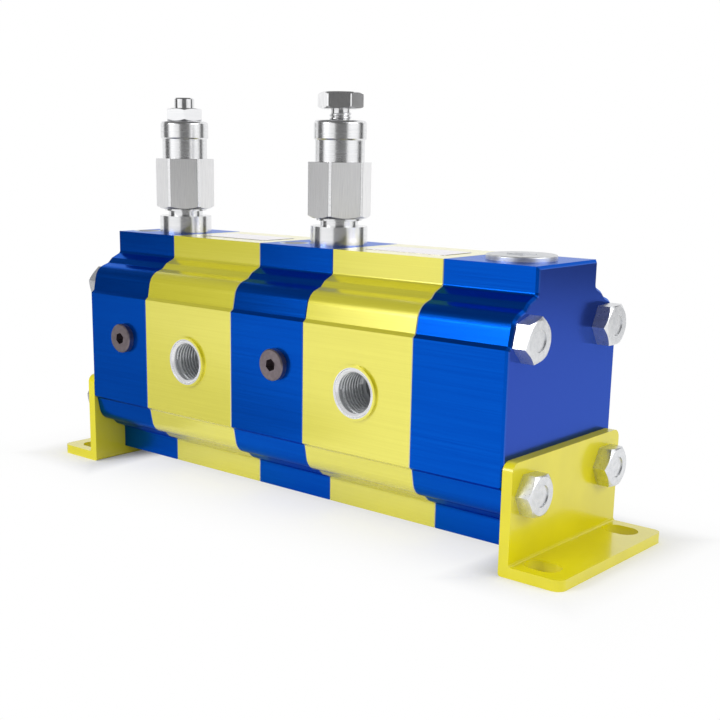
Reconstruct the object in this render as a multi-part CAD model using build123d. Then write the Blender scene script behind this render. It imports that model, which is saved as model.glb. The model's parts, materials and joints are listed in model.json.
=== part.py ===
from build123d import *
import os
from math import acos, cos, pi, radians, sin, sqrt, tan

# Rotary gear flow divider with two gear sections and two relief valves.
# Five extruded sections are clamped by four through bolts and stand on two angle brackets.
# X runs along the block, the outlet ports face -Y and Z points up from the surface it stands on.
# The origin is on that surface, in the middle of the four foot slots. All sizes are in mm.

# Lengths of the sections, from left to right
left_plate_length = 41.5
gear_body_length = 58.5
middle_plate_length = 44.0
cover_length = 44.0

# Outline across the block: from the front face up over the shoulder to the narrow top
body_height = 112.0
body_half_width = 41.25
floor_gap = 5.0
step_out, step_drop = 1.65, 1.3
flank_out, flank_drop = 2.05, 10.5
shoulder_out, shoulder_drop = 7.35, 2.4
kink_out, kink_drop = 2.5, 2.4
ledge_out, ledge_drop = 5.2, 2.3
top_wall = 10.8
shoulder_radius = 7.5
cove_radius = 1.5
step_cove_radius = 0.8
cover_chamfer = 1.3
edge_break = 0.3

# Through bolts, M10
bolt_radius = 5.0
bolt_spread_y = 29.5
bolt_spread_z = 29.5
bolt_hole_clearance = 0.25
bolt_head_flats = 16.0
bolt_head_height = 6.4
nut_height = 6.0
bolt_end_stickout = 0.6
bolt_end_chamfer = 0.8
bolt_dish_radius = 4.4
bolt_dish_depth = 0.5
bolt_turns = (46.0, 33.0, 27.0, 29.0)
nut_turn = 44.0

# Hexagons are turned off at the ends by a cone
hex_face_share = 0.95
hex_cone_angle = 30.0

# Foot brackets
bracket_thickness = 4.5
bracket_height = 45.0
foot_length = 27.6
bracket_corner_radius = 4.0
bracket_bend_radius = 1.2
slot_width = 11.0
slot_length = 15.5
slot_from_body = 13.5
slot_spread_y = 30.6

# Gears
gear_centre_distance = 34.0
teeth = 12
pressure_angle = 25.0
addendum_factor = 1.0
dedendum_factor = 1.25
tooth_thinning = 0.12
gear_width = 20.0
journal_radius = 9.0
shaft_end_gap = 0.5
tip_clearance = 0.05
running_clearance = 0.04
block_clearance = 0.04
gear_side_clearance = 0.05
bush_wall = 1.5
flank_points = 4

# Coupling between the two drive shafts
coupling_radius = 12.0
coupling_length = 24.0
coupling_bore_clearance = 0.5
tang_width = 8.0
tang_depth = 8.0
tang_clearance = 0.05

# Face seals between the sections
seal_radius = 24.0
seal_width = 2.8
seal_depth = 2.0
seal_side_clearance = 0.1

# Ports and passages; thread radii are those of the hole's wall
outlet_port_radius = 9.5
outlet_port_depth = 16.0
outlet_mouth_radius = 10.4
outlet_mouth_depth = 1.7
outlet_ring_radius = 11.7
outlet_ring_height = 1.2
outlet_passage_radius = 7.0
inlet_port_radius = 12.1
inlet_port_depth = 17.0
inlet_mouth_radius = 14.0
inlet_mouth_depth = 1.9
inlet_passage_radius = 6.0
gallery_radius = 4.0
gallery_y = 18.0
gear_feed_radius = 5.0
pressure_channel_radius = 3.0
pressure_riser_radius = 2.5
gauge_port_radius = 5.72
gauge_port_depth = 12.0
gauge_mouth_radius = 6.8
gauge_mouth_depth = 1.0
gauge_offset_x = -18.0
gauge_y = -10.0
gauge_passage_radius = 2.5
gauge_cross_radius = 2.0
thread_clearance = 0.05

# Hex socket plugs in the front of both valve plates
plug_collar_radius = 7.0
plug_collar_height = 3.0
plug_thread_radius = 4.86
plug_thread_length = 8.0
plug_socket_flats = 5.0
plug_socket_depth = 4.5
plug_socket_turn = 10.0
plug_edge = 0.5
plug_z_offset = 6.2
cross_passage_radius = 4.0

# Hex socket plug on top of the end cover
top_plug_radius = 14.3
top_plug_height = 2.0
top_plug_thread_length = 14.0
top_plug_socket_flats = 12.0
top_plug_socket_depth = 9.0
top_plug_edge = 0.5
top_plug_socket_turn = 0.0
top_plug_passage_radius = 8.0

# Relief valves; heights are measured from the top of the block along the valve's axis
valve_from_seam = 16.2
flange_radius = 12.9
flange_top = 8.2
neck_radius = 8.6
neck_top = 10.8
collar_radius = 10.5
collar_top = 11.7
valve_hex_flats = 25.6
valve_hex_corner_radius = 14.4
valve_hex_top = 36.2
valve_hex_turns = (-14.8, -6.1)
valve_thread_radius = 10.0
valve_thread_length = 22.0
nose_radius = 7.9
nose_length = 10.0
orifice_radius = 3.0
seat_land = 3.0
chamber_radius = 6.5
relief_hole_radius = 1.5
spigot_radius = 9.0
spigot_length = 12.0
cap_radius = 11.05
cap_step_height = 45.6
cap_band_radius = 11.75
cap_top = 54.2
cap_edge_radius = 1.6
cap_roof = 6.0
lower_passage_radius = 5.0
cavity_clearance = 0.05

# Adjusting screws, M10
screw_radius = 5.0
screw_core_radius = 4.3
screw_travel = 3.0
screw_edge = 0.6
screw_1_top = 65.4
locknut_flats = 17.0
locknut_height = 6.2
screw_2_head_bottom = 59.0
screw_2_head_height = 7.2
screw_2_head_flats = 17.8
screw_2_head_corner_radius = 10.1
locknut_turn = 18.2
screw_head_turn = 37.4

# Spring, its seat and the poppet
spring_seat_bottom = 22.0
spring_seat_height = 6.0
spring_pin_radius = 2.6
spring_pin_length = 5.0
spring_wire_radius = 1.0
spring_coil_radius = 4.6
spring_turns = 8
poppet_length = 12.0
poppet_cone_length = 4.0
slide_clearance = 0.05
o_ring_radius = 1.0
o_ring_pocket_radius = 12.2

# Two points nearer than this are the same corner
same_place = 0.01

# Places that follow from the sizes
total_length = left_plate_length + 2 * gear_body_length + middle_plate_length + cover_length
x_left = -total_length / 2
x_seam_1 = x_left + left_plate_length
x_seam_2 = x_seam_1 + gear_body_length
x_seam_3 = x_seam_2 + middle_plate_length
x_seam_4 = x_seam_3 + gear_body_length
x_right = x_seam_4 + cover_length
z_middle = floor_gap + body_height / 2
z_top = floor_gap + body_height
z_drive = z_middle - gear_centre_distance / 2
z_idler = z_middle + gear_centre_distance / 2
y_front = -body_half_width
y_back = body_half_width
z_cross_passage = z_middle + plug_z_offset
x_valves = (x_seam_1 - valve_from_seam, x_seam_3 - valve_from_seam)
gear_tip_radius = gear_centre_distance / 2 * (1 + 2 * addendum_factor / teeth)
gear_bore_radius = gear_tip_radius + tip_clearance
x_coupling = (x_seam_2 + x_seam_3) / 2
bolt_places = [(y, z_middle + z) for z in (bolt_spread_z, -bolt_spread_z)
               for y in (-bolt_spread_y, bolt_spread_y)]

RIGHT = (1, 0, 0)
LEFT = (-1, 0, 0)
BACK = (0, 1, 0)
FRONT = (0, -1, 0)
UP = (0, 0, 1)
DOWN = (0, 0, -1)


def rod(start, direction, length, radius):
    """A round bar from a point along a direction."""
    return Solid.make_cylinder(radius, length, Plane(origin=start, z_dir=direction))


def taper(start, direction, length, radius, end_radius):
    """A cone or a bar that narrows along its length."""
    return Solid.make_cone(radius, end_radius, length, Plane(origin=start, z_dir=direction))


def turned(points, x, y=0.0, z=0.0):
    """A turned piece on a vertical axis, from (radius, height) corners."""
    outline = make_face(Polyline(*[(radius, 0, height) for radius, height in points], close=True))
    return Pos(x, y, z) * revolve(outline, Axis.Z, 360)


def hexagon(start, direction, flats, length, turn=0.0):
    """A hexagonal bar; at turn 0 a corner points along the plane's own x."""
    plane = Plane(origin=start, z_dir=direction)
    return extrude(plane * Rot(0, 0, turn) * RegularPolygon(flats / 2, 6, major_radius=False), length)


def hexagon_head(start, direction, flats, length, turn=0.0, far=True, near=False, corner_radius=None):
    """A bolt head or nut: a hexagonal bar whose ends are turned off to a cone, and sometimes its corners."""
    corner_radius = corner_radius or flats / sqrt(3)
    face_radius = hex_face_share * flats / 2
    depth = (corner_radius - face_radius) * tan(radians(hex_cone_angle))
    low = depth if near else 0.0
    high = length - depth if far else length
    points = [(0, 0), (face_radius if near else corner_radius, 0)]
    if near:
        points.append((corner_radius, low))
    if far:
        points.append((corner_radius, high))
    points += [(face_radius if far else corner_radius, length), (0, length)]
    outline = make_face(Polyline(*[(radius, 0, height) for radius, height in points], close=True))
    envelope = Plane(origin=start, z_dir=direction) * revolve(outline, Axis.Z, 360)
    return hexagon(start, direction, flats, length, turn) & envelope


def mouth(start, direction, wide_radius, depth, radius):
    """The countersunk mouth of a threaded port."""
    return taper(start, direction, depth, wide_radius, radius)


def write(name, shape):
    """One STEP file for each sub-part."""
    shape.label = name
    export_step(shape, f"parts/{name}.step")


# The outline that all five sections are cut from

def section_outline():
    """The extrusion's section in Y and Z, rounded at its shoulders and in its coves."""
    steps = ((step_out, step_drop), (flank_out, flank_drop), (shoulder_out, shoulder_drop),
             (kink_out, kink_drop), (ledge_out, ledge_drop), (0.0, top_wall))
    corner = Vector(body_half_width, body_height / 2 - sum(drop for _, drop in steps))
    quarter = [corner]
    for out, drop in steps:
        corner = corner + Vector(-out, drop)
        quarter.append(corner)
    upper = [(c.X, c.Y) for c in quarter] + [(-c.X, c.Y) for c in reversed(quarter)]
    lower = [(-y, -z) for y, z in upper]
    face = make_face(Polyline(*upper, *lower, close=True))
    for place, radius in ((1, step_cove_radius), (2, shoulder_radius), (3, cove_radius), (5, cove_radius)):
        # The same corner is there once in every quarter of the section
        corner = quarter[place]
        alike = [v for v in face.vertices()
                 if abs(abs(v.X) - corner.X) < same_place and abs(abs(v.Y) - corner.Y) < same_place]
        face = fillet(alike, radius)
    return face


OUTLINE = section_outline()


def section(x_start, length):
    """One section cut from the extrusion, with its end edges broken and its four bolt holes."""
    body = extrude(Plane(origin=(x_start, 0, z_middle), x_dir=BACK, z_dir=RIGHT) * OUTLINE, length)
    ends = body.faces().filter_by(Axis.X)
    body = chamfer(ends.edges(), edge_break)
    for y, z in bolt_places:
        body -= rod((x_start, y, z), RIGHT, length, bolt_radius + bolt_hole_clearance)
    return body


def seal_ring(x_start, inner, outer, depth):
    """A flat racetrack ring round both gear axes."""
    plane = Plane(origin=(x_start, 0, z_middle), x_dir=BACK, z_dir=RIGHT)
    ring = [SlotCenterToCenter(gear_centre_distance, 2 * radius, rotation=90) for radius in (outer, inner)]
    return extrude(plane * (ring[0] - ring[1]), depth)


def seal_groove(x_start):
    """The groove that holds a face seal."""
    half = seal_width / 2 + seal_side_clearance
    return seal_ring(x_start, seal_radius - half, seal_radius + half, seal_depth)


# The five sections

def gear_body(x_start):
    """A gear section: the bores of both gears, the threaded outlet and the passages along it."""
    body = section(x_start, gear_body_length)
    x_port = x_start + gear_body_length / 2
    for z in (z_drive, z_idler):
        body -= rod((x_start, 0, z), RIGHT, gear_body_length, gear_bore_radius)
    # A low ring stands round the port, faced off flat for the fitting's seal
    y_ring = y_front - outlet_ring_height
    body += rod((x_port, y_front, z_middle), FRONT, outlet_ring_height, outlet_ring_radius)
    body -= rod((x_port, y_front, z_middle), BACK, outlet_port_depth, outlet_port_radius)
    body -= mouth((x_port, y_ring, z_middle), BACK, outlet_mouth_radius,
                  outlet_ring_height + outlet_mouth_depth, outlet_port_radius)
    body -= rod((x_port, y_front, z_middle), BACK, body_half_width, outlet_passage_radius)
    body -= rod((x_port, gallery_y, z_middle), FRONT, gallery_y, gear_feed_radius)
    body -= rod((x_start, gallery_y, z_middle), RIGHT, gear_body_length, gallery_radius)
    body -= rod((x_start, -gallery_y, z_middle), RIGHT, gear_body_length / 2, pressure_channel_radius)
    return body


def valve_cavity(x_valve):
    """What a relief valve and its front plug need cut from a plate."""
    top = (x_valve, 0, z_top)
    nose_end = valve_thread_length + nose_length
    cut = rod(top, DOWN, valve_thread_length, valve_thread_radius + cavity_clearance)
    cut += rod(top, DOWN, nose_end, nose_radius + cavity_clearance)
    cut += rod(top, DOWN, 2 * o_ring_radius, o_ring_pocket_radius)
    cut += rod(top, DOWN, z_top - z_cross_passage, lower_passage_radius)
    front = (x_valve, y_front, z_cross_passage)
    cut += rod(front, BACK, body_half_width, cross_passage_radius)
    cut += rod(front, BACK, plug_thread_length + thread_clearance, plug_thread_radius + thread_clearance)
    return cut


def gauge_port(x_valve, x_face):
    """The open gauge port beside a valve and the passage from it to the plate's right face."""
    x_port = x_valve + gauge_offset_x
    top = (x_port, gauge_y, z_top)
    cut = rod(top, DOWN, gauge_port_depth, gauge_port_radius)
    cut += mouth(top, DOWN, gauge_mouth_radius, gauge_mouth_depth, gauge_port_radius)
    cut += rod(top, DOWN, z_top - z_cross_passage, gauge_passage_radius)
    cut += rod((x_port, gauge_y, z_cross_passage), RIGHT, x_face - x_port, gauge_cross_radius)
    return cut


def valve_plate(x_start, length, x_valve):
    """A plate with the relief valve of the gear section on its right."""
    x_face = x_start + length
    plate = section(x_start, length)
    plate -= valve_cavity(x_valve)
    plate -= gauge_port(x_valve, x_face)
    plate -= rod((x_valve, -gallery_y, z_middle), RIGHT, x_face - x_valve, pressure_channel_radius)
    plate -= rod((x_valve, -gallery_y, z_middle), UP, plug_z_offset, pressure_riser_radius)
    plate -= seal_groove(x_face - seal_depth)
    return plate


def left_plate():
    """The end plate with the first relief valve."""
    return valve_plate(x_left, left_plate_length, x_valves[0])


def middle_plate():
    """The plate between the gear bodies: second valve, rear inlet and the coupling's bore."""
    plate = valve_plate(x_seam_2, middle_plate_length, x_valves[1])
    plate -= seal_groove(x_seam_2)
    plate -= rod((x_seam_2, 0, z_drive), RIGHT, middle_plate_length,
                 coupling_radius + coupling_bore_clearance)
    plate -= rod((x_seam_2, gallery_y, z_middle), RIGHT, middle_plate_length, gallery_radius)
    inlet = (x_coupling, y_back, z_middle)
    plate -= mouth(inlet, FRONT, inlet_mouth_radius, inlet_mouth_depth, inlet_port_radius)
    plate -= rod(inlet, FRONT, inlet_port_depth, inlet_port_radius)
    plate -= rod(inlet, FRONT, y_back - gallery_y + gallery_radius, inlet_passage_radius)
    return plate


def end_cover():
    """The right end: a deep bevel round its outer face and the closed top inlet."""
    body = extrude(Plane(origin=(x_seam_4, 0, z_middle), x_dir=BACK, z_dir=RIGHT) * OUTLINE, cover_length)
    body = chamfer(body.faces().sort_by(Axis.X)[-1].edges(), cover_chamfer)
    body = chamfer(body.faces().sort_by(Axis.X)[0].edges(), edge_break)
    for y, z in bolt_places:
        body -= rod((x_seam_4, y, z), RIGHT, cover_length, bolt_radius + bolt_hole_clearance)
    body -= seal_groove(x_seam_4)
    top = ((x_seam_4 + x_right) / 2, 0, z_top)
    body -= rod(top, DOWN, top_plug_thread_length + thread_clearance, inlet_port_radius)
    body -= rod(top, DOWN, z_top - z_middle, top_plug_passage_radius)
    recess = Plane(origin=(x_seam_4, gallery_y / 2, z_middle), x_dir=BACK, z_dir=RIGHT)
    body -= extrude(recess * SlotCenterToCenter(gallery_y, 2 * gallery_radius), cover_length / 2)
    return body


# Gears, shafts and what carries them

def involute(angle):
    """The involute function of an angle in radians."""
    return tan(angle) - angle


def gear_face(first_tooth):
    """A gear's outline across its shaft, with one tooth pointing at the given angle in degrees."""
    module = gear_centre_distance / teeth
    pitch_radius = gear_centre_distance / 2
    base_radius = pitch_radius * cos(radians(pressure_angle))
    root_radius = pitch_radius - dedendum_factor * module
    pitch_half_angle = pi / (2 * teeth) - tooth_thinning / (2 * pitch_radius)
    base_half_angle = pitch_half_angle + involute(radians(pressure_angle))

    def polar(radius, angle):
        return (radius * cos(angle), radius * sin(angle))

    def half_angle(radius):
        return base_half_angle - involute(acos(base_radius / radius))

    radii = [base_radius + (gear_tip_radius - base_radius) * k / flank_points for k in range(flank_points + 1)]
    edges = []
    for tooth in range(teeth):
        centre = radians(first_tooth) + 2 * pi * tooth / teeth
        following = centre + 2 * pi / teeth
        rising = [polar(radius, centre - half_angle(radius)) for radius in radii]
        falling = [polar(radius, centre + half_angle(radius)) for radius in reversed(radii)]
        root_start = polar(root_radius, centre - base_half_angle)
        root_end = polar(root_radius, centre + base_half_angle)
        next_root = polar(root_radius, following - base_half_angle)
        edges.append(Line(root_start, rising[0]))
        edges.append(Spline(*rising))
        edges.append(ThreePointArc(rising[-1], polar(gear_tip_radius, centre), falling[0]))
        edges.append(Spline(*falling))
        edges.append(Line(falling[-1], root_end))
        edges.append(ThreePointArc(root_end, polar(root_radius, (centre + following) / 2), next_root))
    return make_face(edges)


def gear_shaft(x_body, z, first_tooth):
    """A gear in one piece with its two journals, which end just inside the body's faces."""
    x_gear = x_body + (gear_body_length - gear_width) / 2
    gear = extrude(Plane(origin=(x_gear, 0, z), x_dir=BACK, z_dir=RIGHT) * gear_face(first_tooth), gear_width)
    journal = rod((x_body + shaft_end_gap, 0, z), RIGHT, gear_body_length - 2 * shaft_end_gap, journal_radius)
    return gear + journal


def drive_gear(x_body, towards):
    """A drive gear whose shaft runs on into the middle plate and ends in a flat tang."""
    gear = gear_shaft(x_body, z_drive, 90)
    x_face = x_body + (gear_body_length if towards > 0 else 0)
    x_start = x_face - towards * 2 * shaft_end_gap
    x_shoulder = x_coupling - towards * (coupling_length / 2 + tang_clearance)
    direction = RIGHT if towards > 0 else LEFT
    gear += rod((x_start, 0, z_drive), direction, abs(x_shoulder - x_start), journal_radius)
    tang = rod((x_shoulder, 0, z_drive), direction, tang_depth, journal_radius)
    size = (tang_width, 2 * journal_radius) if towards > 0 else (2 * journal_radius, tang_width)
    tang &= Pos(x_shoulder + towards * tang_depth / 2, 0, z_drive) * Box(tang_depth, *size)
    return gear + tang


def shaft_coupling():
    """A sleeve with a slot across each end, at right angles to each other."""
    sleeve = rod((x_coupling - coupling_length / 2, 0, z_drive), RIGHT, coupling_length, coupling_radius)
    depth = tang_depth + tang_clearance
    slot = tang_width + 2 * tang_clearance
    for towards, size in ((-1, (slot, 2 * coupling_radius)), (1, (2 * coupling_radius, slot))):
        x_slot = x_coupling + towards * (coupling_length - depth) / 2
        sleeve -= Pos(x_slot, 0, z_drive) * Box(depth, *size)
    return sleeve


def bearing_block(x_start):
    """The figure-eight block that carries both journals on one side of the gears."""
    length = (gear_body_length - gear_width) / 2 - gear_side_clearance
    block_radius = gear_bore_radius - block_clearance
    block = rod((x_start, 0, z_drive), RIGHT, length, block_radius)
    block += rod((x_start, 0, z_idler), RIGHT, length, block_radius)
    for z in (z_drive, z_idler):
        block -= rod((x_start, 0, z), RIGHT, length, journal_radius + running_clearance + bush_wall)
    return block


def bush_pair(x_start):
    """The two thin bushes in a bearing block."""
    length = (gear_body_length - gear_width) / 2 - gear_side_clearance
    bore = journal_radius + running_clearance
    bushes = []
    for z in (z_drive, z_idler):
        bush = rod((x_start, 0, z), RIGHT, length, bore + bush_wall)
        bushes.append(bush - rod((x_start, 0, z), RIGHT, length, bore))
    return bushes


def section_seal(x_start):
    """The rubber ring that seals one joint between two sections."""
    return seal_ring(x_start, seal_radius - seal_width / 2, seal_radius + seal_width / 2, seal_depth)


# Bolts, brackets and plugs

def bolt_set():
    """Four through bolts; the lower two also hold the brackets."""
    bolts = []
    for y, z in bolt_places:
        lower = z < z_middle
        outside = bracket_thickness if lower else 0.0
        x_head = x_right + outside
        x_end = x_left - outside - nut_height - bolt_end_stickout
        turn = bolt_turns[bolt_places.index((y, z))]
        bolt = rod((x_end, y, z), RIGHT, x_head - x_end, bolt_radius)
        bolt = chamfer(bolt.faces().sort_by(Axis.X)[0].edges(), bolt_end_chamfer)
        bolt += hexagon_head((x_head, y, z), RIGHT, bolt_head_flats, bolt_head_height, turn)
        bolt -= rod((x_head + bolt_head_height, y, z), LEFT, bolt_dish_depth, bolt_dish_radius)
        bolts.append(bolt)
    return bolts


def nut_set():
    """The nuts at the left end of the four bolts."""
    nuts = []
    for y, z in bolt_places:
        outside = bracket_thickness if z < z_middle else 0.0
        start = (x_left - outside, y, z)
        nut = hexagon_head(start, LEFT, bolt_head_flats, nut_height, nut_turn)
        nuts.append(nut - rod(start, LEFT, nut_height, bolt_radius + thread_clearance))
    return nuts


def bracket(side):
    """An angle bracket at one end, side +1 for the right end and -1 for the left."""
    x_body = x_right if side > 0 else x_left
    t = bracket_thickness
    corners = [(0, 0), (foot_length, 0), (foot_length, t), (t, t), (t, bracket_height), (0, bracket_height)]
    outline = make_face(Polyline(*[(x_body + side * x, 0, z) for x, z in corners], close=True))
    bend = [v for v in outline.vertices()
            if abs(v.X - x_body - side * t) < same_place and abs(v.Z - t) < same_place]
    outline = fillet(bend, bracket_bend_radius)
    heel = [v for v in outline.vertices()
            if abs(v.X - x_body) < same_place and abs(v.Z) < same_place]
    outline = fillet(heel, bracket_bend_radius)
    shape = extrude(outline, body_half_width, dir=BACK, both=True)
    toes = shape.edges().filter_by(Axis.Z).sort_by(Axis.X)
    toes = toes[-2:] if side > 0 else toes[:2]
    shape = fillet(toes, bracket_corner_radius)
    tips = shape.edges().filter_by(Axis.X).group_by(Axis.Z)[-1]
    shape = fillet(tips, bracket_corner_radius)
    for y in (-bolt_spread_y, bolt_spread_y):
        shape -= rod((x_body, y, z_middle - bolt_spread_z), RIGHT if side > 0 else LEFT, t,
                     bolt_radius + bolt_hole_clearance)
    for y in (-slot_spread_y, slot_spread_y):
        slot = SlotOverall(slot_length, slot_width)
        shape -= extrude(Pos(x_body + side * slot_from_body, y, 0) * slot, t)
    return shape


def front_plug(x_valve):
    """A plug with a collar and a hex socket, screwed into a plate's front."""
    seat = (x_valve, y_front, z_cross_passage)
    plug = rod(seat, FRONT, plug_collar_height, plug_collar_radius)
    plug = chamfer(plug.faces().sort_by(Axis.Y)[0].edges(), plug_edge)
    plug += rod(seat, BACK, plug_thread_length, plug_thread_radius)
    outer = (x_valve, y_front - plug_collar_height, z_cross_passage)
    return plug - hexagon(outer, BACK, plug_socket_flats, plug_socket_depth, plug_socket_turn)


def top_plug():
    """The flat plug that closes the inlet on top of the end cover."""
    x = (x_seam_4 + x_right) / 2
    plug = rod((x, 0, z_top), UP, top_plug_height, top_plug_radius)
    plug = fillet(plug.faces().sort_by(Axis.Z)[-1].edges(), top_plug_edge)
    plug += rod((x, 0, z_top), DOWN, top_plug_thread_length, inlet_port_radius - thread_clearance)
    outer = (x, 0, z_top + top_plug_height)
    return plug - hexagon(outer, DOWN, top_plug_socket_flats, top_plug_socket_depth, top_plug_socket_turn)


# Relief valves

def valve_body(x_valve, turn):
    """The cartridge: nose, thread, flange, neck and hexagon, with the poppet's chamber inside."""
    nose_end = valve_thread_length + nose_length
    shape = turned([(0, -nose_end), (nose_radius, -nose_end), (nose_radius, -valve_thread_length),
                    (valve_thread_radius, -valve_thread_length), (valve_thread_radius, 0),
                    (flange_radius, 0), (flange_radius, flange_top), (neck_radius, flange_top),
                    (neck_radius, neck_top), (collar_radius, neck_top), (collar_radius, collar_top),
                    (0, collar_top)], x_valve, z=z_top)
    collar = (x_valve, 0, z_top + collar_top)
    shape += hexagon_head(collar, UP, valve_hex_flats, valve_hex_top - collar_top, turn, far=False, near=True,
                          corner_radius=valve_hex_corner_radius)
    top = (x_valve, 0, z_top + valve_hex_top)
    shape -= rod(top, DOWN, spigot_length + cavity_clearance, spigot_radius + cavity_clearance)
    shape -= rod(top, DOWN, valve_hex_top + nose_end - seat_land, chamber_radius)
    shape -= rod(top, DOWN, valve_hex_top + nose_end, orifice_radius)
    z_holes = z_top - nose_end + seat_land + poppet_cone_length
    for direction in (RIGHT, BACK):
        start = Vector(x_valve, 0, z_holes) - Vector(direction) * valve_thread_radius
        shape -= rod(tuple(start), direction, 2 * valve_thread_radius, relief_hole_radius)
    return shape


def valve_cap(x_valve):
    """The round cap screwed into the hexagon, with a slightly wider band at its top."""
    bottom = valve_hex_top - spigot_length
    cap = turned([(0, bottom), (spigot_radius, bottom), (spigot_radius, valve_hex_top),
                  (cap_radius, valve_hex_top), (cap_radius, cap_step_height),
                  (cap_band_radius, cap_step_height + cap_band_radius - cap_radius),
                  (cap_band_radius, cap_top), (0, cap_top)], x_valve, z=z_top)
    cap = fillet(cap.faces().sort_by(Axis.Z)[-1].edges(), cap_edge_radius)
    cap -= rod((x_valve, 0, z_top + bottom), UP, cap_top - cap_roof - bottom, chamber_radius)
    return cap - rod((x_valve, 0, z_top + bottom), UP, cap_top - bottom, screw_radius + thread_clearance)


def adjusting_screw(x_valve, head_turn):
    """The screw that loads the spring; given a turn it has a hexagon head, otherwise a plain end."""
    bottom = spring_seat_bottom + spring_seat_height
    start = (x_valve, 0, z_top + bottom)
    if head_turn is None:
        screw = rod(start, UP, screw_1_top - bottom, screw_radius)
        return chamfer(screw.faces().sort_by(Axis.Z)[-1].edges(), screw_edge)
    # Below its head the rod has the radius of the thread's core, as far as it can rise out of the cap
    core_bottom = cap_top - screw_travel
    screw = rod(start, UP, core_bottom - bottom, screw_radius)
    core = (x_valve, 0, z_top + core_bottom)
    screw += rod(core, UP, screw_2_head_bottom - core_bottom, screw_core_radius)
    head = (x_valve, 0, z_top + screw_2_head_bottom)
    return screw + hexagon_head(head, UP, screw_2_head_flats, screw_2_head_height, head_turn, near=True,
                                corner_radius=screw_2_head_corner_radius)


def locknut(x_valve, turn):
    """The nut that locks the first valve's screw against its cap."""
    start = (x_valve, 0, z_top + cap_top)
    nut = hexagon_head(start, UP, locknut_flats, locknut_height, turn, near=True)
    return nut - rod(start, UP, locknut_height, screw_radius + thread_clearance)


def spring_seat(x_valve):
    """The button between the screw's tip and the spring, with a pin inside the spring."""
    radius = chamber_radius - slide_clearance
    pin_tip = spring_seat_bottom - spring_pin_length
    top = spring_seat_bottom + spring_seat_height
    return turned([(0, pin_tip), (spring_pin_radius, pin_tip), (spring_pin_radius, spring_seat_bottom),
                   (radius, spring_seat_bottom), (radius, top), (0, top)], x_valve, z=z_top)


def poppet_seat_height():
    """Height of the seat's edge, below the block's top."""
    return seat_land - valve_thread_length - nose_length


def poppet(x_valve):
    """The cone that closes the seat, guided by its round back."""
    tip = poppet_seat_height()
    shoulder = tip + poppet_cone_length
    return turned([(0, tip), (orifice_radius, tip), (chamber_radius - slide_clearance, shoulder),
                   (chamber_radius - slide_clearance, tip + poppet_length), (0, tip + poppet_length)],
                  x_valve, z=z_top)


def spring(x_valve):
    """The coil spring between the poppet and its adjustable seat."""
    bottom = poppet_seat_height() + poppet_length + spring_wire_radius
    height = spring_seat_bottom - spring_wire_radius - bottom
    path = Pos(x_valve, 0, z_top + bottom) * Helix(height / spring_turns, height, spring_coil_radius)
    wire = Plane(origin=path @ 0, z_dir=path % 0) * Circle(spring_wire_radius)
    return sweep(wire, path, is_frenet=True)


def o_ring(x_valve):
    """The ring under the valve's flange."""
    radius = (valve_thread_radius + o_ring_pocket_radius) / 2
    return Pos(x_valve, 0, z_top - o_ring_radius) * Torus(radius, o_ring_radius)


def build_all():
    """Every piece by name; identical fasteners and bushes are written together."""
    pieces = {
        "left_valve_plate": left_plate(),
        "gear_body_1": gear_body(x_seam_1),
        "middle_valve_plate": middle_plate(),
        "gear_body_2": gear_body(x_seam_3),
        "end_cover": end_cover(),
        "drive_gear_1": drive_gear(x_seam_1, 1),
        "drive_gear_2": drive_gear(x_seam_3, -1),
        "shaft_coupling": shaft_coupling(),
        "left_bracket": bracket(-1),
        "right_bracket": bracket(1),
        "through_bolts": Compound(bolt_set()),
        "bolt_nuts": Compound(nut_set()),
        "top_plug": top_plug(),
    }
    for number, x_body in ((1, x_seam_1), (2, x_seam_3)):
        half_tooth = 180 / teeth
        pieces[f"idler_gear_{number}"] = gear_shaft(x_body, z_idler, 90 + half_tooth)
        x_block = x_body + (gear_body_length + gear_width) / 2 + gear_side_clearance
        for side, x_start in (("left", x_body), ("right", x_block)):
            pieces[f"bearing_block_{number}_{side}"] = bearing_block(x_start)
            pieces[f"bushes_{number}_{side}"] = Compound(bush_pair(x_start))
    seams = (x_seam_1 - seal_depth, x_seam_2, x_seam_3 - seal_depth, x_seam_4)
    for number, x_start in enumerate(seams, 1):
        pieces[f"section_seal_{number}"] = section_seal(x_start)
    for number, x_valve in enumerate(x_valves, 1):
        pieces[f"front_plug_{number}"] = front_plug(x_valve)
        pieces[f"valve_body_{number}"] = valve_body(x_valve, valve_hex_turns[number - 1])
        pieces[f"valve_cap_{number}"] = valve_cap(x_valve)
        pieces[f"spring_seat_{number}"] = spring_seat(x_valve)
        pieces[f"relief_spring_{number}"] = spring(x_valve)
        pieces[f"relief_poppet_{number}"] = poppet(x_valve)
        pieces[f"valve_o_ring_{number}"] = o_ring(x_valve)
    pieces["adjusting_screw_1"] = adjusting_screw(x_valves[0], None)
    pieces["adjusting_screw_2"] = adjusting_screw(x_valves[1], screw_head_turn)
    pieces["locknut_1"] = locknut(x_valves[0], locknut_turn)
    return pieces


os.makedirs("parts", exist_ok=True)
for piece_name, piece in build_all().items():
    write(piece_name, piece)
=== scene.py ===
# %% [markdown]
# Gear flow divider: the dressed model
#
# The object is a hydraulic block of five extruded aluminium sections, dyed blue and yellow in turn, clamped
# by four through bolts, with two plated relief valves on top and two angle feet. The pieces that move or
# fit come ready made, at their real size. This lesson gives each of them its finish, adds the fine threads,
# the bright rims of the outlets and the bare plates on top, and sets up a small photo studio.

# %% Load the frame
import json
import math

import bpy
from mathutils import Matrix, Vector


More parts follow.
